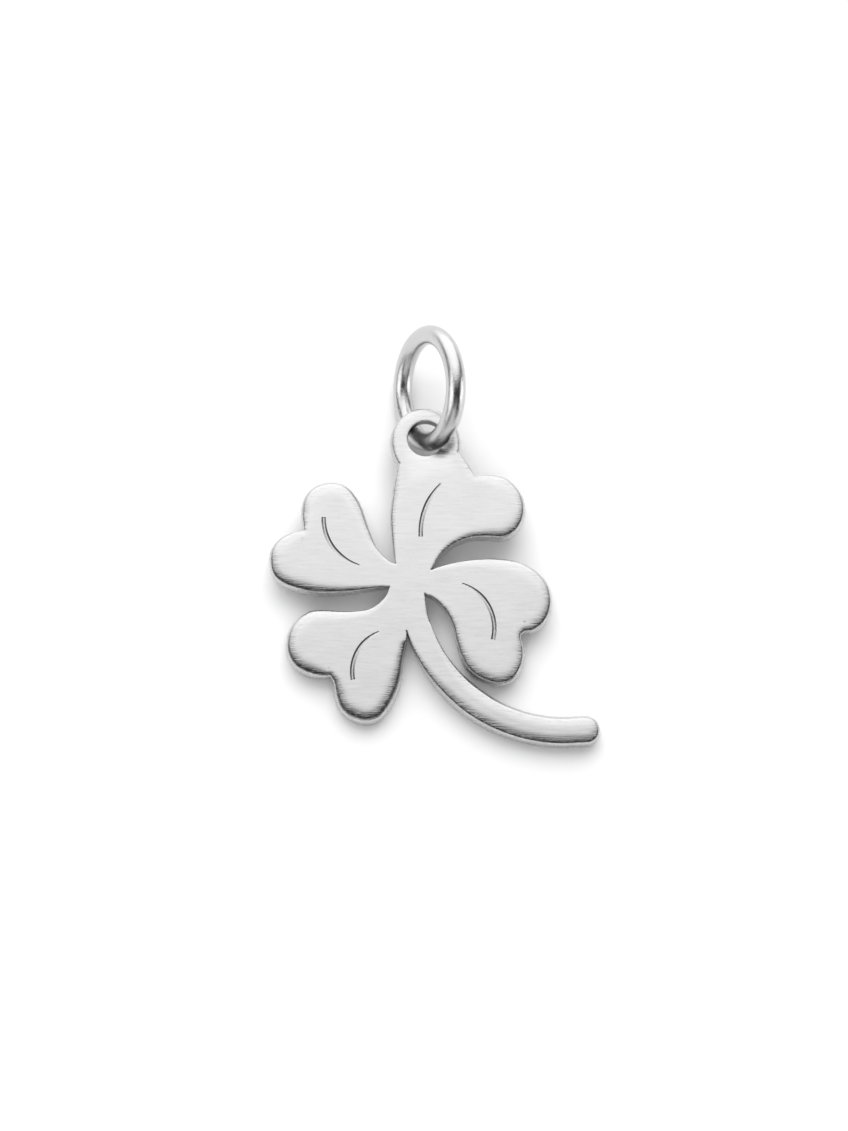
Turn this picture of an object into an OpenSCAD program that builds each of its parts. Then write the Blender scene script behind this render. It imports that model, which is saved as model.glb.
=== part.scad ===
// Four leaf clover pendant: a cast silver clover with a round eye, and a plain jump ring through it.
// It is drawn flat with the middle of the four leaves at the origin and the eye towards +Y,
// and then laid on its back on Z = 0, where the ring under the eye holds that end up.

/* [Plate] */
// Thickness of the clover
plate_t = 1; // [0.9:0.05:1.3]
// Width of the soft roll round the face of a leaf
roll_w = 0.8; // [0.5:0.05:0.85]
// How far the face falls towards the edge of a leaf
roll_fall = 0.17; // [0.08:0.01:0.22]
// How far the wall stands out beyond the edge of the face
wall_out = 0.17; // [0.08:0.01:0.22]
// Radius of the rounded edge of the back
back_ease = 0.1; // [0.05:0.01:0.2]

/* [Leaves] */
// Length of the top leaf, from the middle of the clover
top_leaf_l = 7; // [6.4:0.1:7.6]
// Width of the top leaf
top_leaf_w = 6.4; // [5.8:0.1:7]
// Length of the left leaf
left_leaf_l = 6.9; // [6.3:0.1:7.5]
// Width of the left leaf
left_leaf_w = 5.6; // [5:0.1:6.2]
// Length of the lower leaf
low_leaf_l = 7; // [6.4:0.1:7.6]
// Width of the lower leaf
low_leaf_w = 6; // [5.4:0.1:6.6]
// Length of the right leaf
right_leaf_l = 6.9; // [6.3:0.1:7.5]
// Width of the right leaf
right_leaf_w = 6; // [5.4:0.1:6.6]
// Heading of the top leaf, counterclockwise from the right
top_leaf_heading = 58.5; // [57:0.5:60]
// Heading of the left leaf
left_leaf_heading = 155; // [153:0.5:157]
// Heading of the lower leaf
low_leaf_heading = 231; // [229:0.5:233]
// Heading of the right leaf
right_leaf_heading = -27.5; // [-29:0.5:-26]
// Distance of the forks between the leaves from the middle of the clover
fork_r = 1.11; // [0.95:0.01:1.25]

/* [Veins] */
// Width of an engraved vein
vein_w = 0.2; // [0.1:0.01:0.24]
// How much shallower a vein is at its fine end
vein_fade = 0.07; // [0:0.01:0.1]

/* [Stem] */
// Radius that the middle of the stem bends on
stem_bend_r = 7.55; // [6.8:0.05:8.4]
// Straight length after the bend, up to the round end
stem_tail = 0.7; // [0.2:0.05:1.5]
// Width of the face of the stem near the leaves
stem_w = 1.27; // [1:0.01:1.6]
// Width of the face of the stem at its end
stem_tip_w = 1.16; // [0.9:0.01:1.5]
// How far the domed face of the stem falls to its edges
stem_fall = 0.2; // [0.1:0.01:0.26]

/* [Eye] */
// Metal left round the hole of the eye
eye_wall = 0.73; // [0.5:0.01:1.1]
// How far the hole sits beyond the centre of the eye
eye_lift = 0.14; // [0:0.01:0.2]
// Clearance between the hole and the wire of the ring
eye_play = 0.05; // [0.04:0.01:0.15]
// Width of the eased edge of the hole on the face
eye_rim = 0.06; // [0.02:0.01:0.12]
// Width of the countersink of the hole on the back
eye_sink = 0.34; // [0.25:0.01:0.38]

/* [Jump ring] */
// Outer diameter of the jump ring
ring_d = 6.38; // [5.6:0.02:7.4]
// Diameter of its wire
wire_d = 0.98; // [0.8:0.02:1.1]
// Angle between the ring and the plate
ring_turn = 61.5; // [57:0.5:66]
// Angle between the ring and the length of the clover
ring_heading = 7.5; // [0:0.5:12]
// How far round the ring its wire has slid down through the eye
ring_slide = 22.8; // [12:0.2:26]
// How far below the middle of the hole the wire passes
ring_drop = 0.04; // [0:0.01:0.06]

/* [Hidden] */
$fn = 96;

// Columns of an edge table: place across the leaf as a share of its width, positive to the left,
// place along it as a share of its length, and how much of the full roll and wall it has there.
SIDE = 0;
OUT = 1;
SOFT = 2;

// Each leaf runs out along its right side to the notch and back along its left side to the middle.
TOP_RIGHT = [
    [-0.088, 0.27, 0.3],
    [-0.13, 0.385, 0.45],
    [-0.22, 0.495, 0.6],
    [-0.335, 0.57, 0.8],
    [-0.44, 0.632, 1],
    [-0.487, 0.73, 1],
    [-0.46, 0.85, 1],
    [-0.365, 0.945, 1],
    [-0.215, 0.983, 1],
    [-0.09, 0.948, 0.8],
    [0, 0.887, 0.5]
];
TOP_LEFT = [
    [0, 0.887, 0.5],
    [0.102, 0.933, 0.6],
    [0.204, 0.965, 0.7],
    [0.34, 0.985, 0.7],
    [0.47, 0.945, 0.7],
    [0.55, 0.85, 0.7],
    [0.572, 0.76, 0.6],
    [0.556, 0.675, 0.6],
    [0.5, 0.513, 0.5],
    [0.45, 0.409, 0.4],
    [0.39, 0.31, 0.35],
    [0.3, 0.195, 0.25]
];
LEFT_RIGHT = [
    [-0.072, 0.2, 0.2],
    [-0.1, 0.275, 0.3],
    [-0.155, 0.355, 0.4],
    [-0.27, 0.455, 0.5],
    [-0.4, 0.558, 0.7],
    [-0.49, 0.665, 0.9],
    [-0.515, 0.755, 1],
    [-0.48, 0.85, 1],
    [-0.385, 0.928, 1],
    [-0.26, 0.948, 1],
    [-0.14, 0.92, 0.9],
    [-0.05, 0.873, 0.7],
    [0, 0.858, 0.5]
];
LEFT_LEFT = [
    [0, 0.858, 0.5],
    [0.06, 0.925, 0.7],
    [0.15, 0.982, 0.9],
    [0.27, 1.003, 1],
    [0.38, 0.972, 1],
    [0.465, 0.912, 1],
    [0.495, 0.82, 1],
    [0.485, 0.7, 0.9],
    [0.455, 0.6, 0.8],
    [0.395, 0.484, 0.6],
    [0.32, 0.372, 0.5],
    [0.24, 0.27, 0.4],
    [0.16, 0.165, 0.25]
];
LOW_RIGHT = [
    [-0.078, 0.2, 0.2],
    [-0.085, 0.28, 0.3],
    [-0.12, 0.355, 0.4],
    [-0.2, 0.43, 0.5],
    [-0.3, 0.5, 0.6],
    [-0.405, 0.568, 0.8],
    [-0.48, 0.638, 1],
    [-0.512, 0.74, 1],
    [-0.495, 0.84, 1],
    [-0.42, 0.935, 1],
    [-0.3, 0.982, 1],
    [-0.17, 0.967, 1],
    [-0.08, 0.93, 0.8],
    [-0.015, 0.887, 0.5]
];
LOW_LEFT = [
    [-0.015, 0.887, 0.5],
    [0.05, 0.908, 0.7],
    [0.13, 0.968, 0.9],
    [0.23, 1.015, 1],
    [0.34, 1.018, 1],
    [0.44, 0.983, 1],
    [0.502, 0.91, 1],
    [0.507, 0.81, 1],
    [0.478, 0.695, 1],
    [0.43, 0.592, 0.9],
    [0.36, 0.487, 0.7],
    [0.29, 0.37, 0.4]
];
RIGHT_RIGHT = [
    [-0.042, 0.2, 0.2],
    [-0.062, 0.275, 0.3],
    [-0.1, 0.35, 0.4],
    [-0.17, 0.43, 0.5],
    [-0.265, 0.5, 0.6],
    [-0.36, 0.578, 0.7],
    [-0.43, 0.67, 0.9],
    [-0.448, 0.78, 1],
    [-0.425, 0.893, 1],
    [-0.345, 0.968, 1],
    [-0.22, 0.982, 1],
    [-0.1, 0.95, 0.9],
    [-0.02, 0.895, 0.6],
    [0.02, 0.88, 0.5]
];
RIGHT_LEFT = [
    [0.02, 0.88, 0.5],
    [0.06, 0.898, 0.6],
    [0.1, 0.944, 0.8],
    [0.18, 0.98, 1],
    [0.29, 0.985, 1],
    [0.4, 0.95, 1],
    [0.49, 0.875, 1],
    [0.54, 0.76, 1],
    [0.545, 0.64, 0.9],
    [0.51, 0.53, 0.8],
    [0.44, 0.4, 0.6],
    [0.35, 0.282, 0.5],
    [0.25, 0.176, 0.3]
];

// Columns: heading of the leaf, its length, its width, its right side and its left side,
// and its vein, from the fine end to the blunt one: two places across and along, and its bow
// as a share of its length, positive to the left.
LEAVES = [
    [
        top_leaf_heading, top_leaf_l, top_leaf_w, TOP_RIGHT, TOP_LEFT,
        [0.201, 0.714], [0.115, 0.306], -0.106
    ],
    [
        left_leaf_heading, left_leaf_l, left_leaf_w, LEFT_RIGHT, LEFT_LEFT,
        [0.074, 0.386], [-0.189, 0.773], 0.173
    ],
    [
        low_leaf_heading, low_leaf_l, low_leaf_w, LOW_RIGHT, LOW_LEFT,
        [0.068, 0.433], [0.152, 0.813], -0.179
    ],
    [
        right_leaf_heading, right_leaf_l, right_leaf_w, RIGHT_RIGHT, RIGHT_LEFT,
        [0.169, 0.34], [-0.13, 0.725], 0.196
    ]
];
HEADING = 0;
LENGTH = 1;
WIDTH = 2;
RIGHT = 3;
LEFT = 4;
VEIN_START = 5;
VEIN_END = 6;
VEIN_BOW = 7;
TOP = 0;

// Headings of the forks between two leaves, and turns of the stem at its forks with two leaves
FORK_RIGHT_TOP = 27;
FORK_TOP_LEFT = 133.4;
FORK_LEFT_LOW = 197.3;
FORK_LOW_STEM = 18;
FORK_STEM_RIGHT = 5.5;

// Where the eye sits on the top leaf, as shares of its width and length
EYE_ON_LEAF = [0.487, 0.925];

// Points of a smooth curve between two knots, flat steps in a roll, and the place of a fan's middle
KNOT_STEPS = 3;
ROLL_STEPS = 4;
FAN_OUT = 0.55;
// How the face falls over its roll: as this power of the way from the flat to the edge
ROLL_POWER = 2.5;
// The bright bevel under the edge of the face, and the height where the wall stands furthest out
BEVEL_SHARE = 0.35;
WALL_HIGH = 0.4;
// Share of the stem's half width that is domed, its turn, and the turn where the dome is full
STEM_DOME = 0.9;
STEM_TURN = 93;
STEM_FULL = 40;
// Points along each side of the stem, and round each half of its tip
STEM_STEPS = 15;
TIP_STEPS = 5;
// The least share of the roll and the wall, at the forks, and the longest step out at a corner
LEAST_SOFT = 0.15;
MITRE_MAX = 1.5;

function unit(v) = v / norm(v);
function left_of(v) = [-v[1], v[0]];
function flat(v) = [v[0], v[1]];
function column(table, c) = [for (row = table) row[c]];
function joined(lists) = [for (list = lists, item = list) item];

// A point on the smooth curve through four knots, and the curve through a whole table of them.
function between(a, b, c, d, t) =
    (2 * b + (c - a) * t + (2 * a - 5 * b + 4 * c - d) * t * t + (3 * b - a - 3 * c + d) * t * t * t) / 2;
function curve(knots) =
    let (last = len(knots) - 1)
    [
        for (i = [0 : last - 1], s = [0 : KNOT_STEPS - 1])
            between(knots[max(i - 1, 0)], knots[i], knots[i + 1], knots[min(i + 2, last)], s / KNOT_STEPS)
    ];

// A place on a leaf, given as shares of its width and length, in the plate's plane.
function on_leaf(leaf, share) =
    let (
        h = leaf[HEADING],
        ahead = share[OUT] * leaf[LENGTH],
        aside = share[SIDE] * leaf[WIDTH]
    )
    [ahead * cos(h) - aside * sin(h), ahead * sin(h) + aside * cos(h)];

// Rows of an edge: x, y, how far the wall stands out there, how wide the roll is and how far it falls.
REACH = 2;
ROLL = 3;
FALL = 4;
function leaf_row(p, soft) = [p[0], p[1], wall_out * soft, roll_w * soft, roll_fall * soft];
function stem_row(p, soft) =
    [p[0], p[1], wall_out * soft, stem_tip_w / 2 * STEM_DOME * soft, stem_fall * soft];
function leaf_knots(leaf, table) = [for (row = table) leaf_row(on_leaf(leaf, row), row[SOFT])];

// The middle line of the stem at a turn in degrees, and the two sides of the stem.
function stem_middle(a) = [stem_bend_r * (1 - cos(a)), -stem_bend_r * sin(a)];
function stem_ahead(a) = [sin(a), -cos(a)];
function stem_half(a) = (stem_w + (stem_tip_w - stem_w) * a / STEM_TURN) / 2;
function stem_soft(a) = min(1, LEAST_SOFT + max(0, a - FORK_LOW_STEM) / STEM_FULL);
function stem_side(way, a) =
    stem_row(stem_middle(a) + way * stem_half(a) * left_of(stem_ahead(a)), stem_soft(a));
function stem_tip(way) =
    let (
        ahead = stem_ahead(STEM_TURN),
        half = stem_tip_w / 2,
        middle = stem_middle(STEM_TURN) + stem_tail * ahead
    )
    [
        for (i = [0 : TIP_STEPS])
            let (a = 90 * i / (TIP_STEPS + 0.5))
            stem_row(middle + half * (way * cos(a) * left_of(ahead) + sin(a) * ahead), 1)
    ];
function reversed(list) = [for (i = [len(list) - 1 : -1 : 0]) list[i]];

// Each fork, and the runs of the edge from fork to fork, counterclockwise. No run holds its end.
function fork(heading) = leaf_row(fork_r * [cos(heading), sin(heading)], LEAST_SOFT);
function leaf_run(leaf, from, to) = concat(
    curve(concat([from], leaf_knots(leaf, leaf[RIGHT]))),
    curve(concat(leaf_knots(leaf, leaf[LEFT]), [to]))
);
low_fork = stem_side(-1, FORK_LOW_STEM);
right_fork = stem_side(1, FORK_STEM_RIGHT);
function side_turn(from, i) = from + (STEM_TURN - from) * i / STEM_STEPS;
stem_run = concat(
    [for (i = [0 : STEM_STEPS]) stem_side(-1, side_turn(FORK_LOW_STEM, i))],
    stem_tip(-1),
    reversed(stem_tip(1)),
    [for (i = [STEM_STEPS : -1 : 1]) stem_side(1, side_turn(FORK_STEM_RIGHT, i))]
);
runs = [
    leaf_run(LEAVES[0], fork(FORK_RIGHT_TOP), fork(FORK_TOP_LEFT)),
    leaf_run(LEAVES[1], fork(FORK_TOP_LEFT), fork(FORK_LEFT_LOW)),
    leaf_run(LEAVES[2], fork(FORK_LEFT_LOW), low_fork),
    leaf_run(LEAVES[3], right_fork, fork(FORK_RIGHT_TOP)),
    stem_run
];
edge = concat(runs[0], runs[1], runs[2], stem_run, runs[3]);

// Where each run starts in the edge.
top_start = 0;
left_start = len(runs[0]);
low_start = left_start + len(runs[1]);
stem_start = low_start + len(runs[2]);
right_start = stem_start + len(stem_run);
edge_end = len(edge);

// The section of an edge: rows of [distance inwards, height], from the back to the flat of the face.
function edge_section(out, roll, fall) =
    let (
        bevel = BEVEL_SHARE * out,
        top = plate_t - fall
    )
    [
        [back_ease - out, 0],
        [-out, back_ease],
        [-out, plate_t * WALL_HIGH],
        [-bevel, top - bevel],
        for (i = [0 : ROLL_STEPS])
            let (u = 1 - i / ROLL_STEPS)
            [roll * (1 - u), plate_t - fall * pow(u, ROLL_POWER)]
    ];

// The directions of the edge before and after a point, and how much further a corner stands out.
function edge_ways(k) =
    let (
        here = flat(edge[k]),
        before = flat(edge[(k + edge_end - 1) % edge_end]),
        after = flat(edge[(k + 1) % edge_end])
    )
    [unit(here - before), unit(after - here)];
function inward(ways) = left_of(unit(ways[0] + ways[1]));
function mitre(ways) = min(MITRE_MAX, 1 / sqrt((1 + ways[0] * ways[1]) / 2));

// All the levels of the edge as rings of points, from the back upwards.
ways_round = [for (k = [0 : edge_end - 1]) edge_ways(k)];
sections = [for (row = edge) edge_section(row[REACH], row[ROLL], row[FALL])];
levels = len(sections[0]);
rings = [
    for (level = [0 : levels - 1])
    [
        for (k = [0 : edge_end - 1])
            let (
                step = sections[k][level][0],
                reach = step < 0 ? step * mitre(ways_round[k]) : step
            )
            concat(flat(edge[k]) + reach * inward(ways_round[k]), sections[k][level][1])
    ]
];

// Walls go from ring to ring. The back and the face are closed by a fan in each leaf round a point
// on its middle line, by one triangle at the root of the stem, and by rungs along the stem.
// Near a fork the points belong to a fan round the middle of the clover.
// Columns: which leaf, where its run starts and ends, and its points near the first and the last fork.
FANS = [
    [0, top_start, left_start, 4, 4],
    [1, left_start, low_start, 3, 4],
    [2, low_start, stem_start, 4, 0],
    [3, right_start, edge_end, 3, 4]
];
points = concat(
    joined(rings),
    [for (leaf = LEAVES) concat(on_leaf(leaf, [0, FAN_OUT]), 0)],
    [[0, 0, 0]],
    [for (leaf = LEAVES) concat(on_leaf(leaf, [0, FAN_OUT]), plate_t)],
    [[0, 0, plate_t]]
);
ring_points = levels * edge_end;
walls = [
    for (j = [0 : levels - 2], k = [0 : edge_end - 1])
        let (a = j * edge_end + k, b = j * edge_end + (k + 1) % edge_end)
        for (face = [[a, a + edge_end, b], [b, a + edge_end, b + edge_end]]) face
];
function cap(base, middles) =
    let (hub = middles + len(LEAVES))
    [
        for (fan = FANS)
            let (
                middle = middles + fan[0],
                from = fan[1],
                to = fan[2],
                near = from + fan[3],
                far = to - fan[4]
            )
            for (f = concat(
                [
                    for (k = [from : to - 1])
                        [k >= near && k < far ? middle : hub, base + k, base + (k + 1) % edge_end]
                ],
                [[middle, base + far % edge_end, hub], [middle, hub, base + near]]
            )) f,
        [hub, base + stem_start, base + right_start],
        for (k = [0 : (right_start - stem_start - 3) / 2])
            let (
                a = base + stem_start + k,
                b = base + right_start - k
            )
            for (f = [[a, a + 1, b - 1], [a, b - 1, b]]) f
    ];
function turned_over(faces) = [for (f = faces) [f[0], f[2], f[1]]];
module plate() {
    face = cap((levels - 1) * edge_end, ring_points + len(LEAVES) + 1);
    polyhedron(points, concat(walls, cap(0, ring_points), turned_over(face)));
}

// The ring as it passes the hole: directions in its own plane, its normal, and its middle line.
ring_r = (ring_d - wire_d) / 2;
ring_across = [cos(ring_turn) * cos(ring_heading), cos(ring_turn) * sin(ring_heading), sin(ring_turn)];
ring_along = [-sin(ring_heading), cos(ring_heading), 0];
ring_normal = cross(ring_across, ring_along);
function ring_way(b) = sin(b) * ring_across - cos(b) * ring_along;
wire_at_hole = [0, -ring_drop, 0];
ring_from_hole = wire_at_hole - ring_r * ring_way(-ring_slide);

// How far the wire reaches from the middle of the hole inside the plate, and so the bore it needs.
// It is found at points round the wire, over this much of the ring to each side of the hole.
WIRE_ARC = 44;
WIRE_STEP = 7.5;
function rim_room(z) = max(0, z - plate_t / 2 + eye_rim) + max(0, eye_sink - plate_t / 2 - z);
wire_reach = max([
    for (b = [-ring_slide - WIRE_ARC : -ring_slide + WIRE_ARC], c = [0 : WIRE_STEP : 360])
        let (
            way = ring_way(b),
            p = ring_from_hole + ring_r * way + wire_d / 2 * (cos(c) * way + sin(c) * ring_normal)
        )
        if (abs(p[2]) <= plate_t / 2) norm(flat(p)) - rim_room(p[2])
]);
hole_r = wire_reach + eye_play;
eye_r = hole_r + eye_wall;
eye_middle = on_leaf(LEAVES[TOP], EYE_ON_LEAF);
hole_middle = eye_middle + [0, eye_lift];
ring_middle = ring_from_hole + [hole_middle[0], hole_middle[1], plate_t / 2];

// The eye has the same edge as a leaf, turned round its centre.
EYE_ROLL = 0.45;
EYE_FALL = 0.12;
module eye() {
    section = edge_section(wall_out, EYE_ROLL, EYE_FALL);
    translate(eye_middle)
        rotate_extrude()
            polygon(concat([[0, 0]], [for (row = section) [eye_r - row[0], row[1]]], [[0, plate_t]]));
}

// The hole, eased on the face and countersunk on the back, cut a little past both.
CUT = 0.2;
module hole() {
    translate(hole_middle) {
        translate([0, 0, -CUT])
            cylinder(r = hole_r, h = plate_t + 2 * CUT);
        translate([0, 0, -CUT])
            cylinder(r1 = hole_r + eye_sink + CUT, r2 = hole_r, h = eye_sink + CUT);
        translate([0, 0, plate_t - eye_rim])
            cylinder(r1 = hole_r, r2 = hole_r + eye_rim + CUT, h = eye_rim + CUT);
    }
}

// A vein is part of a ring of round section that lies half in the face.
module vein(leaf) {
    a = on_leaf(leaf, leaf[VEIN_START]);
    b = on_leaf(leaf, leaf[VEIN_END]);
    span = norm(b - a);
    bow = abs(leaf[VEIN_BOW]) * span;
    way = leaf[VEIN_BOW] > 0 ? 1 : -1;
    r = (span * span / 4 + bow * bow) / (2 * bow);
    half = asin(span / 2 / r);
    ahead = unit(b - a);
    bulge = way * left_of(ahead);
    middle = (a + b) / 2 - (r - bow) * bulge;
    translate([middle[0], middle[1], plate_t])
        rotate(a = way * atan(vein_fade / span), v = [bulge[0], bulge[1], 0])
            rotate([0, 0, atan2(bulge[1], bulge[0]) - half])
                rotate_extrude(angle = 2 * half)
                    translate([r, 0])
                        circle(d = vein_w);
}

// How it lies: the ring under the eye, the lower leaf and the stem touch the surface.
// Each round turns the line through the two feet and the lift until all three are level.
SETTLE_ROUNDS = 8;
FIRST_LIFT = 5;
low_points = [for (ring = rings, k = [low_start : stem_start - 1]) ring[k]];
stem_points = [for (ring = rings, k = [stem_start : right_start - 1]) ring[k]];
function lowest(points, up) =
    let (heights = [for (p = points) p * up], least = min(heights))
    points[search(least, heights)[0]];
function up_for(foot, lift) = [-foot[1] * sin(lift), foot[0] * sin(lift), cos(lift)];
function ring_low(up) =
    ring_middle * up - ring_r * sqrt(1 - pow(ring_normal * up, 2)) - wire_d / 2;
function settled(foot, lift, rounds) =
    let (
        up = up_for(foot, lift),
        a = lowest(low_points, up),
        b = lowest(stem_points, up),
        gap = ring_low(up) - a * up,
        reach = flat(ring_middle - a) * left_of(foot)
    )
    rounds == 0 ? [foot, lift]
    : settled(unit(flat(b - a)), lift - gap / reach * 180 / PI, rounds - 1);
rest = settled([1, 0], FIRST_LIFT, SETTLE_ROUNDS);
rest_foot = rest[0];
rest_lift = rest[1];

// A point turned as it lies, the box round everything, and the shift that sets it on the origin.
function turned(p) =
    let (k = [rest_foot[0], rest_foot[1], 0])
    p * cos(rest_lift) + cross(k, p) * sin(rest_lift) + k * (k * p) * (1 - cos(rest_lift));
clover_turned = [for (p = points) turned(p)];
ring_turned = turned(ring_middle);
normal_turned = turned(ring_normal);
function ring_span(c) = ring_r * sqrt(1 - pow(normal_turned[c], 2)) + wire_d / 2;
function box_low(c) = min(min(column(clover_turned, c)), ring_turned[c] - ring_span(c));
function box_high(c) = max(max(column(clover_turned, c)), ring_turned[c] + ring_span(c));
function box_middle(c) = (box_low(c) + box_high(c)) / 2;
module as_it_lies() {
    translate([-box_middle(0), -box_middle(1), -box_low(2)])
        rotate(a = rest_lift, v = [rest_foot[0], rest_foot[1], 0])
            children();
}

module clover() {
    color("silver")
        as_it_lies()
            difference() {
                union() {
                    plate();
                    eye();
                }
                hole();
                for (leaf = LEAVES) vein(leaf);
            }
}

module jump_ring() {
    color("gainsboro")
        as_it_lies()
            translate(ring_middle)
                rotate([0, 0, ring_heading])
                    rotate([0, -ring_turn, 0])
                        rotate_extrude()
                            translate([ring_r, 0])
                                circle(d = wire_d);
}

clover();
jump_ring();
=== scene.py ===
import math
import bmesh
import bpy
from mathutils import Matrix, Vector


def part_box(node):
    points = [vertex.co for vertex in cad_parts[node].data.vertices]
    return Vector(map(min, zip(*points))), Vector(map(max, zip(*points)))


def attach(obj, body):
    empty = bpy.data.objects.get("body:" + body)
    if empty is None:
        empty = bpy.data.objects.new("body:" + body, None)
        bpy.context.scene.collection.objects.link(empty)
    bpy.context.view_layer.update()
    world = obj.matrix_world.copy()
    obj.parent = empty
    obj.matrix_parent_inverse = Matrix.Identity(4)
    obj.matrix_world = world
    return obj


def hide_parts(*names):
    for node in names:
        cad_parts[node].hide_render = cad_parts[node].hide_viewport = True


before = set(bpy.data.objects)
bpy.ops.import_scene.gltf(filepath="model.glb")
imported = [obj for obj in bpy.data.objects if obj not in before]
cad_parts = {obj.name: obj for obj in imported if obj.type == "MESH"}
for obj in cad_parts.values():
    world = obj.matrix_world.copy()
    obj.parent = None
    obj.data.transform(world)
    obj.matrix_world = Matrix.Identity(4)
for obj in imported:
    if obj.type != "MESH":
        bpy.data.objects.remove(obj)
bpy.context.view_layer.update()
mm = 0.001
print("stage: frame loaded,", sorted(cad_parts))

# The plate lies tilted on its back. Its own frame, in mm, has the middle of the clover at the origin,
# the eye towards +Y and the face towards +Z, and this is where the CAD lays it.
lies = {
    "middle": (-1.11659, -2.23831, 0.630331),
    "up": (-0.0103417, -0.0857071, 0.996267),
}


def frameOn(place, towards):
    turn = Vector((0, 0, 1)).rotation_difference(Vector(towards))
    return Matrix.Translation(Vector(place)) @ turn.to_matrix().to_4x4()


plateFrame = frameOn(Vector(lies["middle"]) * mm, lies["up"])


# Materials

def linearOf(hexColour):  # sRGB hex to the linear colour that a shader wants
    channels = [int(hexColour[i:i + 2], 16) / 255 for i in (1, 3, 5)]
    return [c / 12.92 if c <= 0.04045 else ((c + 0.055) / 1.055) ** 2.4 for c in channels] + [1]


def addNode(tree, kind, links=(), inputs=None, **settings):
    node = tree.nodes.new(kind)
    for key, value in settings.items():
        setattr(node, key, value)
    for socket, value in (inputs or {}).items():
        node.inputs[socket].default_value = value
    for socket, source in links:
        tree.links.new(source, node.inputs[socket])
    return node


def newMaterial(name):
    material = bpy.data.materials.new(name)
    material.use_nodes = True
    material.node_tree.nodes.clear()
    return material, material.node_tree


def finishMaterial(tree, shader):
    addNode(tree, "ShaderNodeOutputMaterial", [("Surface", shader.outputs[0])])


def perMm(length):  # how often a pattern of this length in mm repeats in a metre
    return 1 / (length * mm)


brushedLook = {
    "colour": "#CBCBCB",
    "roughLow": 0.16,        # inside a burnished stroke
    "roughHigh": 0.3,        # where the abrasive bit
    "strokeLength": 0.9,     # mm along the brushing
    "strokeWidth": 0.035,    # mm across it; finer than this it would not show
    "strokeDepth": 0.018,    # mm
    "flatShare": 0.045,      # how deep the strokes are on the flats beside the rolled edges
    "edgeTilt": 9,           # degrees off the flat, where they reach their full depth
    "waveLength": 3.2,       # mm, the slow waviness of a hand finish
    "waveDepth": 0.03,       # mm
    "anisotropy": 0.4,
}


def brushedSilver():
    # Sterling silver, satin brushed along X with an abrasive: a pale grey sheen in fine level strokes
    look = brushedLook
    material, tree = newMaterial("brushedSterlingSilver")
    place = addNode(tree, "ShaderNodeTexCoord").outputs["Object"]
    long, wide = perMm(look["strokeLength"]), perMm(look["strokeWidth"])
    strokes = addNode(tree, "ShaderNodeMapping", [("Vector", place)], {"Scale": (long, wide, 0)})
    stroke = addNode(tree, "ShaderNodeTexNoise", [("Vector", strokes.outputs[0])],
                     {"Scale": 1, "Detail": 3, "Roughness": 0.6}, noise_dimensions="2D")
    bands = addNode(tree, "ShaderNodeMapping", [("Vector", place)],
                    {"Scale": (long / 1.5, wide / 4, 0), "Location": (3, 7, 0)})
    band = addNode(tree, "ShaderNodeTexNoise", [("Vector", bands.outputs[0])],
                   {"Scale": 1, "Detail": 2}, noise_dimensions="2D")
    wave = addNode(tree, "ShaderNodeTexNoise", [("Vector", place)],
                   {"Scale": perMm(look["waveLength"]), "Detail": 1})
    both = addNode(tree, "ShaderNodeMix", [("A", stroke.outputs[0]), ("B", band.outputs[0])],
                   {"Factor": 0.4})
    rough = addNode(tree, "ShaderNodeMapRange", [("Value", both.outputs[0])],
                    {"From Min": 0.35, "From Max": 0.65,
                     "To Min": look["roughLow"], "To Max": look["roughHigh"]})
    slow = addNode(tree, "ShaderNodeBump", [("Height", wave.outputs[0])],
                   {"Strength": 1, "Distance": look["waveDepth"] * mm})
    level = addNode(tree, "ShaderNodeAttribute", attribute_name="level")
    bite = addNode(tree, "ShaderNodeMapRange", [("Value", level.outputs["Fac"])],
                   {"From Min": 1, "From Max": math.cos(math.radians(look["edgeTilt"])),
                    "To Min": look["flatShare"], "To Max": 1})
    fine = addNode(tree, "ShaderNodeBump", [("Height", both.outputs[0]), ("Normal", slow.outputs[0]),
                                            ("Strength", bite.outputs[0])],
                   {"Distance": look["strokeDepth"] * mm})
    along = addNode(tree, "ShaderNodeTangent", direction_type="UV_MAP", uv_map="brushing")
    shader = addNode(tree, "ShaderNodeBsdfPrincipled",
                     [("Roughness", rough.outputs[0]), ("Normal", fine.outputs[0]),
                      ("Tangent", along.outputs[0])],
                     {"Base Color": linearOf(look["colour"]), "Metallic": 1,
                      "Anisotropic": look["anisotropy"]})
    finishMaterial(tree, shader)
    return material


polishedLook = {
    "colour": "#CACACA",
    "roughLow": 0.08,
    "roughHigh": 0.26,
    "smearLength": 0.4,      # mm, the buffing's cloudy smears
    "dentLength": 0.9,       # mm, the slow unevenness of a tumbled surface
    "dentDepth": 0.02,       # mm
    "grainLength": 0.06,     # mm, the tumbling's fine pits
    "grainDepth": 0.012,     # mm
}


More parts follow.
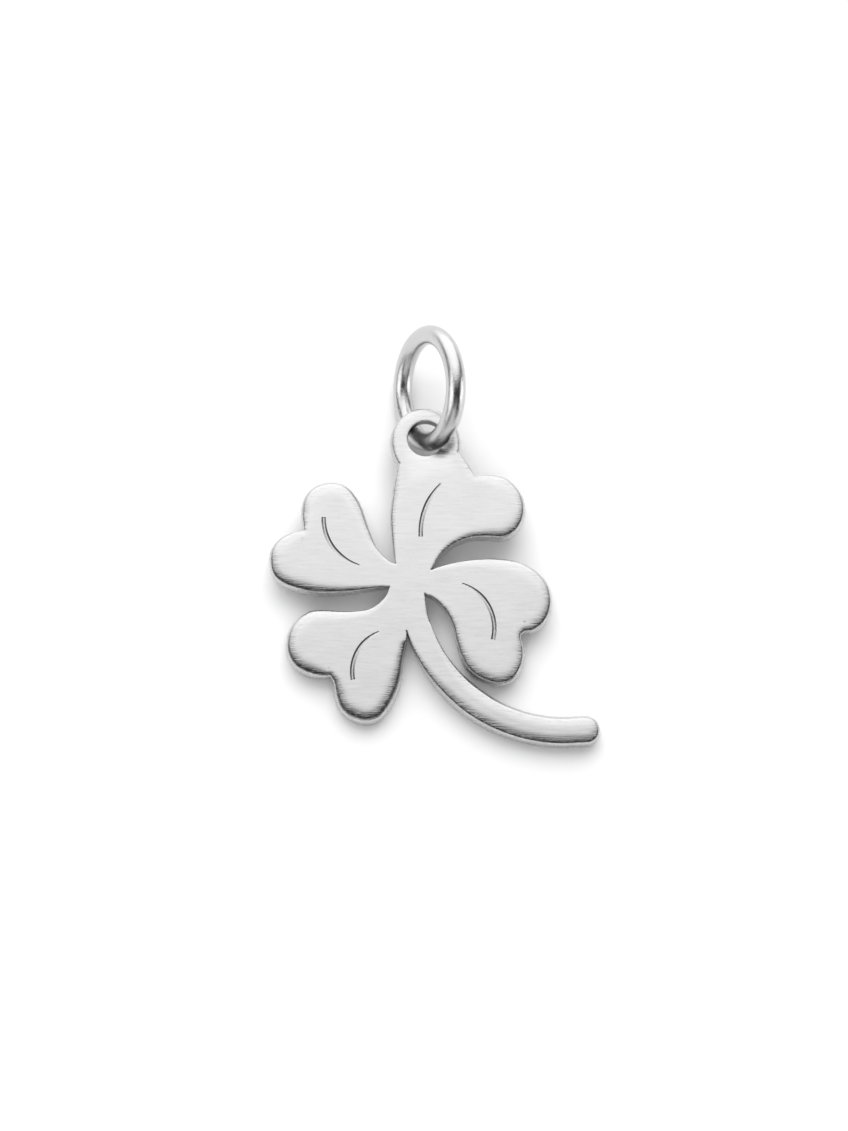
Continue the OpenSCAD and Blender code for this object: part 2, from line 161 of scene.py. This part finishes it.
def polishedSilver(name, coarseness=1):
    # Sterling silver, tumbled and buffed: bright, with the lights and darks of the room drawn along it
    look = polishedLook
    material, tree = newMaterial(name)
    place = addNode(tree, "ShaderNodeTexCoord").outputs["Object"]
    smear = addNode(tree, "ShaderNodeTexNoise", [("Vector", place)],
                    {"Scale": perMm(look["smearLength"]), "Detail": 3})
    dent = addNode(tree, "ShaderNodeTexNoise", [("Vector", place)],
                   {"Scale": perMm(look["dentLength"]), "Detail": 1})
    rough = addNode(tree, "ShaderNodeMapRange", [("Value", smear.outputs[0])],
                    {"From Min": 0.3, "From Max": 0.7,
                     "To Min": look["roughLow"] * coarseness, "To Max": look["roughHigh"] * coarseness})
    grain = addNode(tree, "ShaderNodeTexNoise", [("Vector", place)],
                    {"Scale": perMm(look["grainLength"]), "Detail": 2})
    slow = addNode(tree, "ShaderNodeBump", [("Height", dent.outputs[0])],
                   {"Strength": 1, "Distance": look["dentDepth"] * mm})
    fine = addNode(tree, "ShaderNodeBump", [("Height", grain.outputs[0]), ("Normal", slow.outputs[0])],
                   {"Strength": 1, "Distance": look["grainDepth"] * mm})
    shader = addNode(tree, "ShaderNodeBsdfPrincipled",
                     [("Roughness", rough.outputs[0]), ("Normal", fine.outputs[0])],
                     {"Base Color": linearOf(look["colour"]), "Metallic": 1})
    finishMaterial(tree, shader)
    return material


dullLook = {
    "rough": 0.28,
    "chatterLength": 0.06,   # mm, the marks that a cutting tool leaves
    "chatterDepth": 0.012,   # mm
}


def dullSilverPaintedShade(name, colour):
    # Sterling silver that brush and buff don't reach: rougher, with the tool's chatter marks, and in a given
    # grey darker than the face, which paints the shade of the hollow it lines
    look = dullLook
    material, tree = newMaterial(name)
    place = addNode(tree, "ShaderNodeTexCoord").outputs["Object"]
    chatter = addNode(tree, "ShaderNodeTexNoise", [("Vector", place)],
                      {"Scale": perMm(look["chatterLength"]), "Detail": 2})
    bump = addNode(tree, "ShaderNodeBump", [("Height", chatter.outputs[0])],
                   {"Strength": 1, "Distance": look["chatterDepth"] * mm})
    shader = addNode(tree, "ShaderNodeBsdfPrincipled", [("Normal", bump.outputs[0])],
                     {"Base Color": linearOf(colour), "Metallic": 1, "Roughness": look["rough"]})
    finishMaterial(tree, shader)
    return material


# Pieces

def meshObject(bm, name, materials):
    mesh = bpy.data.meshes.new(name)
    bm.to_mesh(mesh)
    bm.free()
    for material in materials:
        mesh.materials.append(material)
    made = bpy.data.objects.new(name, mesh)
    bpy.context.scene.collection.objects.link(made)
    return made


def finishPiece(piece, place, node, sharpAngle):
    piece.data.transform(place)
    piece.data.shade_smooth()
    piece.data.set_sharp_from_angle(angle=math.radians(sharpAngle))
    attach(piece, "root")
    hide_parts(node)
    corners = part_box(node)
    print("stage:", piece.name, "with", len(piece.data.polygons), "faces, CAD box in mm",
          [[round(c / mm, 2) for c in corner] for corner in corners])


# The clover

clover = {
    "node": "clover",
    "thick": 1.0,           # mm, the plate
    "waist": 0.25,          # mm above the back, where the wall stands furthest out
    "wallFoot": 0.1,        # mm above the back, where the wall starts, and the radius of the back's edge
    "footSteps": 4,
    "wallHead": 0.4,        # mm above the back, where the wall starts to lean in
    "wall": 0.17,           # mm that the wall stands out beyond the edge of the face
    "wallShare": 0.52,      # share of that which the wall leans in by; the rest is bevel and arris
    "wallMarks": (0, 0.35, 0.7, 1),   # shares of the way up that it leans in
    "wallPower": 1.4,       # how suddenly it leans in
    "bevel": (0.27, 52),    # share of the wall that the bright bevel takes, and its tilt in degrees
    "arris": ((0.07, 46), (0.07, 41), (0.07, 36)),   # the same, from the bevel round to the face
    "roll": 0.8,            # mm, how far in the face still rolls down
    "fall": 0.085,          # mm that it has fallen at its edge
    "filing": {             # degrees round the middle: how much of that the file took there
        -180: 1.1, -150: 1.25, -110: 1.7, -75: 1.1, -48: 0.7, -5: 1, 60: 0.85, 150: 1.1, 180: 1.1,
    },
    "rollPower": 3.4,       # how suddenly it falls
    "lip": (0.2, 14),       # share of the fall that the last turn down takes, and its power
    "rollSteps": 14,
    "rollCrowding": 1.5,    # how much closer the steps lie at the edge
    "hubStart": 1.1,        # mm from the middle, where wall, roll and fall are least
    "hubEnd": 5.3,          # mm from the middle, where they are full
    "leastSoft": 0.15,      # share of wall, roll and fall that is left there
    "notchSoft": 0.5,       # the same in a notch
    "notchReach": 0.9,      # mm from a notch
    "neckSoft": 0.3,        # the same beside the eye
    "neckReach": 3.7,       # mm from the eye's middle
    "blend": 0.2,           # mm along the edge over which one kind of edge turns into the next
    "cornerTurn": 24,       # degrees; a sharper turn of the outline is a corner
    "cornerRadius": 0.04,   # mm
    "cornerSteps": 8,
    "curveSteps": 4,
    "layout": 20,           # mm that the brushing's flat layout spans
    "sharpAngle": 15,
}
stem = {
    "bendRadius": 7.55,     # mm, the middle of the stem, bending about a point to the right of the clover
    "halfWidth": 0.6,       # mm
    "roll": 0.52,
    "fall": 0.06,
    "rollPower": 2.2,
    "start": 18,            # degrees round the bend, from the fork with the lower leaf
    "full": 48,             # where its roll is full
    "end": 130,             # past its rounded end
    "below": -2,            # mm, all of the stem is lower than this
    "margin": 0.25,         # mm beside it that still count as stem
}
eye = {
    "middle": (0.7257, 7.1494),   # mm
    "radius": 1.636,        # mm, the edge of its face
    "roll": 0.45,
    "fall": 0.035,
    "rollPower": 4,
    "hole": (0.7257, 7.2894, 0.9065),   # mm: across, along and radius
    "nearEnough": 0.03,     # mm from its outline that still count as eye
    "holeRim": 0.05,        # mm, the eased edge on the face
    "rimCurve": ((0.08, 0.62), (0.21, 0.29), (0.33, 0.08), (0.38, 0)),   # shares of it, out and down
    "holeSink": 0.34,       # mm, the countersink on the back
    "holeSides": 144,
}


def turnAt(points, i):
    before = points[i] - points[i - 1]
    after = points[(i + 1) % len(points)] - points[i]
    return before.to_2d().angle_signed(after.to_2d(), 0)


def cutOutline():
    # The outline is that of the CAD solid, cut through its waist and dissolved to its real corners
    bm = bmesh.new()
    bm.from_mesh(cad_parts[clover["node"]].data)
    bm.transform(plateFrame.inverted())
    bmesh.ops.remove_doubles(bm, verts=bm.verts, dist=1e-4 * mm)
    everything = bm.verts[:] + bm.edges[:] + bm.faces[:]
    bmesh.ops.bisect_plane(bm, geom=everything, dist=1e-5 * mm, plane_co=(0, 0, clover["waist"] * mm),
                           plane_no=(0, 0, 1), clear_inner=True, clear_outer=True)
    bmesh.ops.remove_doubles(bm, verts=bm.verts, dist=0.02 * mm)
    bmesh.ops.dissolve_limit(bm, angle_limit=math.radians(0.3), verts=bm.verts, edges=bm.edges)
    loops, seen = [], set()
    for start in bm.verts:
        if start in seen or len(start.link_edges) != 2:
            continue
        loop, vert, edge = [], start, start.link_edges[0]
        while vert not in seen:
            seen.add(vert)
            loop.append(vert.co.copy())
            edge = next(e for e in vert.link_edges if e != edge)
            vert = edge.other_vert(vert)
        loops.append(loop)
    bm.free()
    return max(loops, key=len)


def smoothOutline(points):
    # A curve with automatic handles makes the outline round again, and plain ones keep its corners
    curve = bpy.data.curves.new("outline", "CURVE")
    curve.dimensions = "3D"
    curve.resolution_u = clover["curveSteps"]
    spline = curve.splines.new("BEZIER")
    spline.use_cyclic_u = True
    spline.bezier_points.add(len(points) - 1)
    for i, (knot, point) in enumerate(zip(spline.bezier_points, points)):
        knot.co = point
        corner = abs(turnAt(points, i)) > math.radians(clover["cornerTurn"])
        knot.handle_left_type = knot.handle_right_type = "VECTOR" if corner else "AUTO"
    holder = bpy.data.objects.new("outline", curve)
    bpy.context.scene.collection.objects.link(holder)
    bpy.context.view_layer.update()
    mesh = bpy.data.meshes.new_from_object(holder.evaluated_get(bpy.context.evaluated_depsgraph_get()))
    bm = bmesh.new()
    bm.from_mesh(mesh)
    bpy.data.objects.remove(holder)
    bpy.data.curves.remove(curve)
    bpy.data.meshes.remove(mesh)
    return bm


def roundCorners(bm):
    # Fills the outline, rounds its corners and gives it back as one counterclockwise ring
    bmesh.ops.contextual_create(bm, geom=bm.edges[:])
    bm.normal_update()
    sheet = bm.faces[:][0]
    if sheet.normal.z < 0:
        sheet.normal_flip()
    ring = [corner.vert for corner in sheet.loops]
    points = [v.co.copy() for v in ring]
    sharp = [v for i, v in enumerate(ring) if abs(turnAt(points, i)) > math.radians(clover["cornerTurn"])]
    notches = [v.co.copy() for v in sharp]
    bmesh.ops.bevel(bm, geom=sharp, offset=clover["cornerRadius"] * mm, offset_type="OFFSET",
                    segments=clover["cornerSteps"], profile=0.5, affect="VERTICES", clamp_overlap=True,
                    material=-1)
    sheet = max(bm.faces, key=lambda f: len(f.verts))
    if sheet.normal.z < 0:
        sheet.normal_flip()
    ring = [corner.vert for corner in sheet.loops]
    bmesh.ops.delete(bm, geom=[sheet], context="FACES_ONLY")
    return ring, notches


def filingAt(x, y):
    degrees = math.degrees(math.atan2(y, x))
    marks = list(clover["filing"].items())
    for (before, low), (after, high) in zip(marks, marks[1:]):
        if degrees <= after:
            return low + (high - low) * (degrees - before) / (after - before)


def edgeAt(point, notches):
    # How far wall and roll reach, how far the face falls and how suddenly, at a point of the outline
    x, y = point.x / mm, point.y / mm
    fromEye = math.hypot(x - eye["middle"][0], y - eye["middle"][1])
    bend = stem["bendRadius"]
    alongStem = math.degrees(math.atan2(-y, bend - x))
    offLine = abs(math.hypot(bend - x, y) - bend)
    least = clover["leastSoft"]
    near = min((point - notch).length / mm for notch in notches) / clover["notchReach"]
    bySoftNotch = clover["notchSoft"] + (1 - clover["notchSoft"]) * min(1, near)
    if abs(fromEye - eye["radius"] - clover["wall"]) < eye["nearEnough"]:
        kind, soft = eye, bySoftNotch
    elif (offLine < stem["halfWidth"] + stem["margin"] and stem["start"] < alongStem < stem["end"]
          and y < stem["below"]):
        kind, soft = stem, least + (alongStem - stem["start"]) / (stem["full"] - stem["start"]) * (1 - least)
    else:
        out = (math.hypot(x, y) - clover["hubStart"]) / (clover["hubEnd"] - clover["hubStart"])
        neck = (fromEye - eye["radius"]) / (clover["neckReach"] - eye["radius"])
        soft = min(least + max(0, out) * (1 - least), bySoftNotch,
                   clover["neckSoft"] + (1 - clover["neckSoft"]) * neck)
        kind = clover
    soft = min(1, soft)
    filed = filingAt(x, y) if kind is clover else 1
    return clover["wall"] * soft, kind["roll"] * soft, kind["fall"] * soft * filed, kind["rollPower"]


def blendEdges(ring, edges):
    # Lets one kind of edge pass into the next over a short way along the outline
    lengths = [(ring[(i + 1) % len(ring)].co - v.co).length / mm for i, v in enumerate(ring)]
    blended = []
    for i in range(len(ring)):
        total, sums = 1, list(edges[i])
        for way in (1, -1):
            gone, k = 0, i
            while True:
                gone += lengths[k] if way > 0 else lengths[k - 1]
                k = (k + way) % len(ring)
                if gone > clover["blend"]:
                    break
                weight = 1 - gone / clover["blend"]
                total += weight
                sums = [a + weight * b for a, b in zip(sums, edges[k])]
        blended.append([a / total for a in sums])
    return blended


def ringEdges(bm, ring):
    return [bm.edges.get((a, b)) for a, b in zip(ring, ring[1:] + ring[:1])]


def nextRing(bm, ring, insets, heights, look, relax=0):
    # Extrudes a ring of edges, and moves it in and up by so much at each of its points
    grown = set(bmesh.ops.extrude_edge_only(bm, edges=ringEdges(bm, ring))["geom"])
    for face in grown & set(bm.faces):
        face.material_index = look
    fresh = [next(e.other_vert(v) for e in v.link_edges if e.other_vert(v) in grown) for v in ring]
    places = []
    for i, v in enumerate(ring):
        ahead = (ring[(i + 1) % len(ring)].co - ring[i - 1].co).to_2d().normalized()
        inward = Vector((-ahead.y, ahead.x))
        places.append(v.co.to_2d() + inward * insets[i] * mm)
    for _ in range(relax):
        places = [(places[i - 1] + 2 * places[i] + places[(i + 1) % len(places)]) / 4
                  for i in range(len(places))]
    for v, place, height in zip(fresh, places, heights):
        v.co = (place.x, place.y, height * mm)
    return fresh


def circleRing(bm, radius):
    x, y = eye["hole"][:2]
    made = bmesh.ops.create_circle(bm, segments=eye["holeSides"], radius=radius * mm,
                                   matrix=Matrix.Translation((x * mm, y * mm, 0)))
    return made["verts"]


def buildBody():
    bm = smoothOutline(cutOutline())
    ring, notches = roundCorners(bm)
    edge = blendEdges(ring, [edgeAt(v.co, notches) for v in ring])
    count = len(ring)
    thick = clover["thick"]

    # Down to the back, round its eased edge
    foot = nextRing(bm, ring, [0] * count, [clover["wallFoot"]] * count, polished)
    ease = clover["wallFoot"]
    turn = 90 / clover["footSteps"]
    for step in range(1, clover["footSteps"] + 1):
        before, now = math.radians(turn * (step - 1)), math.radians(turn * step)
        inset = ease * (math.cos(before) - math.cos(now))
        foot = nextRing(bm, foot, [inset] * count, [ease * (1 - math.sin(now))] * count, polished)

    # Up the leaning wall, over the bevel and round the arris to the edge of the face
    steps = [(share, share * math.tan(math.radians(tilt)))
             for share, tilt in (clover["bevel"], *clover["arris"])]
    low = sum(rise for share, rise in steps)
    tops = [thick - fall - low * wall for wall, roll, fall, power in edge]
    head = nextRing(bm, ring, [0] * count, [clover["wallHead"]] * count, polished)
    marks, lean = clover["wallMarks"], clover["wallPower"]
    for before, now in zip(marks, marks[1:]):
        insets = [wall * clover["wallShare"] * (now ** lean - before ** lean)
                  for wall, roll, fall, power in edge]
        heights = [clover["wallHead"] + (top - clover["wallHead"]) * now for top in tops]
        head = nextRing(bm, head, insets, heights, polished)
    for share, rise in steps:
        insets = [share * wall for wall, roll, fall, power in edge]
        tops = [top + rise * wall for top, (wall, roll, fall, power) in zip(tops, edge)]
        head = nextRing(bm, head, insets, tops, polished)

    # In over the roll to the flat of the face
    steps = clover["rollSteps"]
    lip, lipPower = clover["lip"]
    marks = [(step / steps) ** clover["rollCrowding"] for step in range(steps + 1)]
    for before, now in zip(marks, marks[1:]):
        u = 1 - now
        insets = [roll * (now - before) for wall, roll, fall, power in edge]
        heights = [thick - fall * ((1 - lip) * u ** power + lip * u ** lipPower)
                   for wall, roll, fall, power in edge]
        head = nextRing(bm, head, insets, heights, brushed, relax=1 if now > 0.1 else 0)

    # The hole, from its countersink in the back up its bore to the eased edge in the face
    radius, rim, sink = eye["hole"][2], eye["holeRim"], eye["holeSink"]
    bottom = circleRing(bm, radius + sink)
    bore = bottom
    # The countersink and bore take the dark grey silver, which is painted shade inside the hole
    rises = [(sink, sink, paintedBoreShade), (0, thick - rim, paintedBoreShade)]
    rises += [(-out * rim, thick - down * rim, polished) for out, down in eye["rimCurve"]]
    for inset, height, look in rises:
        bore = nextRing(bm, bore, [inset] * len(bore), [height] * len(bore), look)

    # The face and the back, filled from the outer ring to the hole
    for rings, look in (((head, bore), brushed), ((foot, bottom), polished)):
        edges = [e for ring in rings for e in ringEdges(bm, ring)]
        filled = bmesh.ops.triangle_fill(bm, use_beauty=True, use_dissolve=False, edges=edges)["geom"]
        for face in set(filled) & set(bm.faces):
            face.material_index = look
    bmesh.ops.recalc_face_normals(bm, faces=bm.faces)
    return bm


# Each vein is one stroke of a flat graver along an arc, which opens out from its fine end
veins = {
    "width": 0.23,          # mm at the face
    "floorShare": 0.25,     # share of the width that the groove's flat floor keeps
    "depth": 0.05,          # mm
    "fineShare": 0.5,       # share of its full size at the fine end
    "opening": 1.4,         # how fast it opens out
    "steps": 32,
    "strokes": [            # mm: fine end, blunt end, and the bow as a share of the length
        ((1.514, 4.936), (0.492, 2.214), -0.106),
        ((-2.589, 0.751), (-4.386, 3.213), 0.173),
        ((-1.592, -2.613), (-2.873, -4.998), -0.179),
        ((2.549, -0.182), (4.077, -3.0), 0.196),
    ],
}


def buildStrokes():
    bm = bmesh.new()
    top = clover["thick"] * mm
    for fine, blunt, bow in veins["strokes"]:
        fine, blunt = Vector((*fine, 0)) * mm, Vector((*blunt, 0)) * mm
        chord = blunt - fine
        bulge = Vector((-chord.y, chord.x, 0)).normalized() * math.copysign(1, bow)
        rise = abs(bow) * chord.length
        reach = (chord.length ** 2 / 4 + rise ** 2) / (2 * rise)
        middle = (fine + blunt) / 2 - bulge * (reach - rise)
        sweep = (fine - middle).angle(blunt - middle)
        out = (fine - middle).normalized()
        upright = Matrix((out, (0, 0, 1), out.cross(Vector((0, 0, 1))))).transposed().to_4x4()
        size = Matrix.Diagonal((veins["width"] / 2 * mm, veins["depth"] * mm, 1, 1))
        known = set(bm.verts)
        bmesh.ops.create_grid(bm, x_segments=1, y_segments=1, size=1,
                              matrix=Matrix.Translation(fine) @ upright @ size)
        started = set(bm.verts) - known
        for v in started:
            across = (v.co - fine).dot(out) * (veins["floorShare"] - 1) * (1 if v.co.z < 0 else -1)
            v.co += out * across
        shape = set(started)
        for v in started:
            shape.update(v.link_edges, v.link_faces)
        bmesh.ops.spin(bm, geom=list(shape), cent=middle, axis=(0, 0, 1),
                       angle=-math.copysign(sweep, bow), steps=veins["steps"],
                       use_merge=False, use_duplicate=False)
        for v in set(bm.verts) - known:
            flat = Vector((v.co.x, v.co.y, 0)) - middle
            centre = middle + flat.normalized() * reach
            share = min(1, veins["fineShare"] + veins["opening"] * flat.angle(fine - middle) / sweep)
            v.co = centre + (v.co - centre) * share + Vector((0, 0, top))
    bmesh.ops.recalc_face_normals(bm, faces=bm.faces)
    # The grooves take the engraved silver: rougher, with chatter marks, and in a slightly darker grey that is
    # painted shade in the grooves
    for face in bm.faces:
        face.material_index = engravedPaintedShade
    return bm


def cutAway(piece, tool):
    # Cuts the tool from the piece for good
    cut = piece.modifiers.new("cut", "BOOLEAN")
    cut.operation = "DIFFERENCE"
    cut.solver = "EXACT"
    cut.object = tool
    bpy.context.view_layer.update()
    whole = piece.evaluated_get(bpy.context.evaluated_depsgraph_get())
    made = bpy.data.meshes.new_from_object(whole)
    piece.modifiers.remove(cut)
    old, used = piece.data, tool.data
    piece.data = made
    bpy.data.objects.remove(tool)
    bpy.data.meshes.remove(old)
    bpy.data.meshes.remove(used)


def layBrushing(mesh):
    # A flat layout in the plate's plane, so that the brushing runs along X all over
    layout = mesh.uv_layers.new(name="brushing")
    for corner in mesh.loops:
        layout.data[corner.index].uv = mesh.vertices[corner.vertex_index].co.to_2d() / (clover["layout"] * mm)


def markLevel(mesh):
    # How level the metal is at each corner, because the brush bites deeper where the face rolls down
    up = Vector(lies["up"])
    level = mesh.attributes.new("level", "FLOAT", "CORNER")
    for corner, normal in zip(level.data, mesh.corner_normals):
        corner.value = normal.vector.dot(up)


# Indices of the silvers: the engraved one's slightly darker grey is partly painted shade, and the bore's dark
# grey is wholly painted shade
brushed, polished, engravedPaintedShade, paintedBoreShade = 0, 1, 2, 3
silvers = [brushedSilver(), polishedSilver("polishedSterlingSilver", 1.6),
           dullSilverPaintedShade("engravedSilverPaintedShade", "#C4C4C4"), dullSilverPaintedShade("boreSilverPaintedShade", "#8C8C8C")]
bm = buildBody()
print("stage: clover body,", len(bm.verts), "points,", sum(not e.is_manifold for e in bm.edges),
      "open edges,", round(bm.calc_volume() / mm ** 3, 2), "mm3")
body = meshObject(bm, "silverClover", silvers)
bm = buildStrokes()
print("stage: strokes,", sum(not e.is_manifold for e in bm.edges), "open edges,",
      round(bm.calc_volume() / mm ** 3, 4), "mm3")
cutAway(body, meshObject(bm, "strokes", silvers))
layBrushing(body.data)
finishPiece(body, plateFrame, clover["node"], clover["sharpAngle"])
markLevel(body.data)


# The jump ring

jumpRing = {
    "middle": (-0.2399, 7.3859, 2.8922),            # mm, as the CAD lays it
    "axis": (-0.876136, -0.154796, 0.456535),
    "radius": 2.7,          # mm, the middle of the wire
    "wire": 0.49,           # mm, half its thickness
    "wireSides": 48,
    "steps": 200,
    "sharpAngle": 60,
}


def buildRing():
    bm = bmesh.new()
    across = Matrix.Translation((jumpRing["radius"] * mm, 0, 0)) @ Matrix.Rotation(math.pi / 2, 4, "X")
    bmesh.ops.create_circle(bm, segments=jumpRing["wireSides"], radius=jumpRing["wire"] * mm, matrix=across)
    bmesh.ops.spin(bm, geom=bm.verts[:] + bm.edges[:], cent=(0, 0, 0), axis=(0, 0, 1), angle=math.tau,
                   steps=jumpRing["steps"], use_merge=True, use_duplicate=False)
    bmesh.ops.remove_doubles(bm, verts=bm.verts, dist=1e-4 * mm)
    bmesh.ops.recalc_face_normals(bm, faces=bm.faces)
    return bm


bm = buildRing()
print("stage: ring,", len(bm.verts), "points,", sum(not e.is_manifold for e in bm.edges), "open edges,",
      round(bm.calc_volume() / mm ** 3, 2), "mm3")
wire = meshObject(bm, "silverJumpRing", [polishedSilver("polishedSilverWire")])
ringFrame = frameOn(Vector(jumpRing["middle"]) * mm, jumpRing["axis"])
finishPiece(wire, ringFrame, "jump_ring", jumpRing["sharpAngle"])


# Floor, light and camera

studio = {
    "floorSize": 8,         # m
    "floorColour": "#F0F0F0",
    "roomColour": "#FFFFFF",
    "darkness": 0.05,       # how bright the room looks beside its windows
    "windows": {            # degrees right of and behind the zenith, radius, softness and how bright it looks
        "octabox": (-4, 44, 53, 8, 1.0),
        "octaboxCore": (-4, 50, 41, 18, 0.62),
        "frontWall": (-6, -96, 32, 6, 0.5),
        "paleWalls": (0, 180, 105, 13, 0.3),
    },
    "lamps": {              # m: size and place; how bright each looks, and the one piece that it lights
        "floorLamp": ((0.5, 0.5), (0, 0.34, 0.36), 1.72, None),
        "floorFill": ((0.5, 0.5), (0, -0.3, 0.36), 1.25, None),
        "leftCard": ((0.24, 0.22), (-0.231, -0.089, 0.169), 1.7, "silverJumpRing"),
        "rightCard": ((0.2, 0.17), (0.289, -0.051, 0.08), 1.8, "silverJumpRing"),
        "frontCard": ((0.2, 0.1), (0, -0.21, 0.136), 0.6, "silverJumpRing"),
    },
}


def floorPaper():
    # Matt white paper sweep: even, with no sheen of its own
    material, tree = newMaterial("whitePaper")
    shader = addNode(tree, "ShaderNodeBsdfPrincipled", (),
                     {"Base Color": linearOf(studio["floorColour"]), "Roughness": 1,
                      "Specular IOR Level": 0.1})
    finishMaterial(tree, shader)
    return material


bm = bmesh.new()
bmesh.ops.create_grid(bm, x_segments=1, y_segments=1, size=studio["floorSize"] / 2)
floor = meshObject(bm, "paperFloor", [floorPaper()])

world = bpy.data.worlds.new("room")
world.use_nodes = True
bpy.context.scene.world = world


def windowGlow(tree, sky, window):
    # A round, soft edged light in the sky
    right, behind, radius, soft, glow = window
    off = math.radians(math.hypot(right, behind))
    turn = math.atan2(behind, right)
    towards = (math.sin(off) * math.cos(turn), math.sin(off) * math.sin(turn), math.cos(off))
    near = addNode(tree, "ShaderNodeVectorMath", [(0, sky)], {1: towards}, operation="DOT_PRODUCT")
    ramp = addNode(tree, "ShaderNodeMapRange", [("Value", near.outputs["Value"])],
                   {"From Min": math.cos(math.radians(radius + soft)),
                    "From Max": math.cos(math.radians(radius - soft)), "To Min": 0, "To Max": glow},
                   interpolation_type="SMOOTHSTEP")
    return ramp.outputs[0]


room = world.node_tree
sky = addNode(room, "ShaderNodeTexCoord").outputs["Generated"]
glow = addNode(room, "ShaderNodeValue").outputs[0]
glow.default_value = studio["darkness"]
for window in studio["windows"].values():
    light = windowGlow(room, sky, window)
    glow = addNode(room, "ShaderNodeMath", [(0, glow), (1, light)], operation="ADD").outputs[0]
backdrop = room.nodes["Background"]
backdrop.inputs["Color"].default_value = linearOf(studio["roomColour"])
room.links.new(glow, backdrop.inputs["Strength"])

# The floor's lamps aren't mirrored in the metal, and the cards show in the ring's wire alone
for name, (size, place, glow, lit) in studio["lamps"].items():
    lamp = bpy.data.lights.new(name, "AREA")
    lamp.shape = "RECTANGLE"
    lamp.size, lamp.size_y = size
    lamp.energy = glow * math.pi * size[0] * size[1]
    panel = bpy.data.objects.new(name, lamp)
    panel.location = place
    panel.rotation_euler = Vector(place).to_track_quat("Z", "Y").to_euler()
    panel.visible_glossy = lit is not None
    panel.visible_camera = False
    if lit:
        linked = bpy.data.collections.new(name)
        linked.objects.link(bpy.data.objects[lit])
        panel.light_linking.receiver_collection = linked
    bpy.context.scene.collection.objects.link(panel)

# The camera looks at the face from a little below its middle, as the photograph does
shot = {
    "lean": 9.5,            # degrees off the normal of the plate, towards -Y
    "distance": 90,         # mm from the middle of the face
    "aim": (0.65, 0.73),    # mm right and up of it, the middle of the picture
    "height": 56.55,        # mm that the picture shows at that distance
}
lean = math.radians(shot["lean"])
turnPlate = plateFrame.to_3x3()
away = turnPlate @ Vector((0, -math.sin(lean), math.cos(lean)))
right = turnPlate @ Vector((1, 0, 0))
up = away.cross(right)
target = plateFrame @ Vector((0, 0, clover["thick"] * mm))
eyePoint = target + away * shot["distance"] * mm
aimed = (eyePoint - target - right * shot["aim"][0] * mm - up * shot["aim"][1] * mm).normalized()
right = up.cross(aimed).normalized()
up = aimed.cross(right)
camera = bpy.data.cameras.new("camera")
camera.sensor_width = 36
camera.lens = camera.sensor_width * shot["distance"] / shot["height"]
camera.clip_start, camera.clip_end = 0.005, 10
viewer = bpy.data.objects.new("camera", camera)
viewer.matrix_world = Matrix.Translation(eyePoint) @ Matrix((right, up, aimed)).transposed().to_4x4()
bpy.context.scene.collection.objects.link(viewer)
bpy.context.scene.camera = viewer
bpy.context.scene.view_settings.view_transform = "Standard"
print("stage: floor, light and camera")
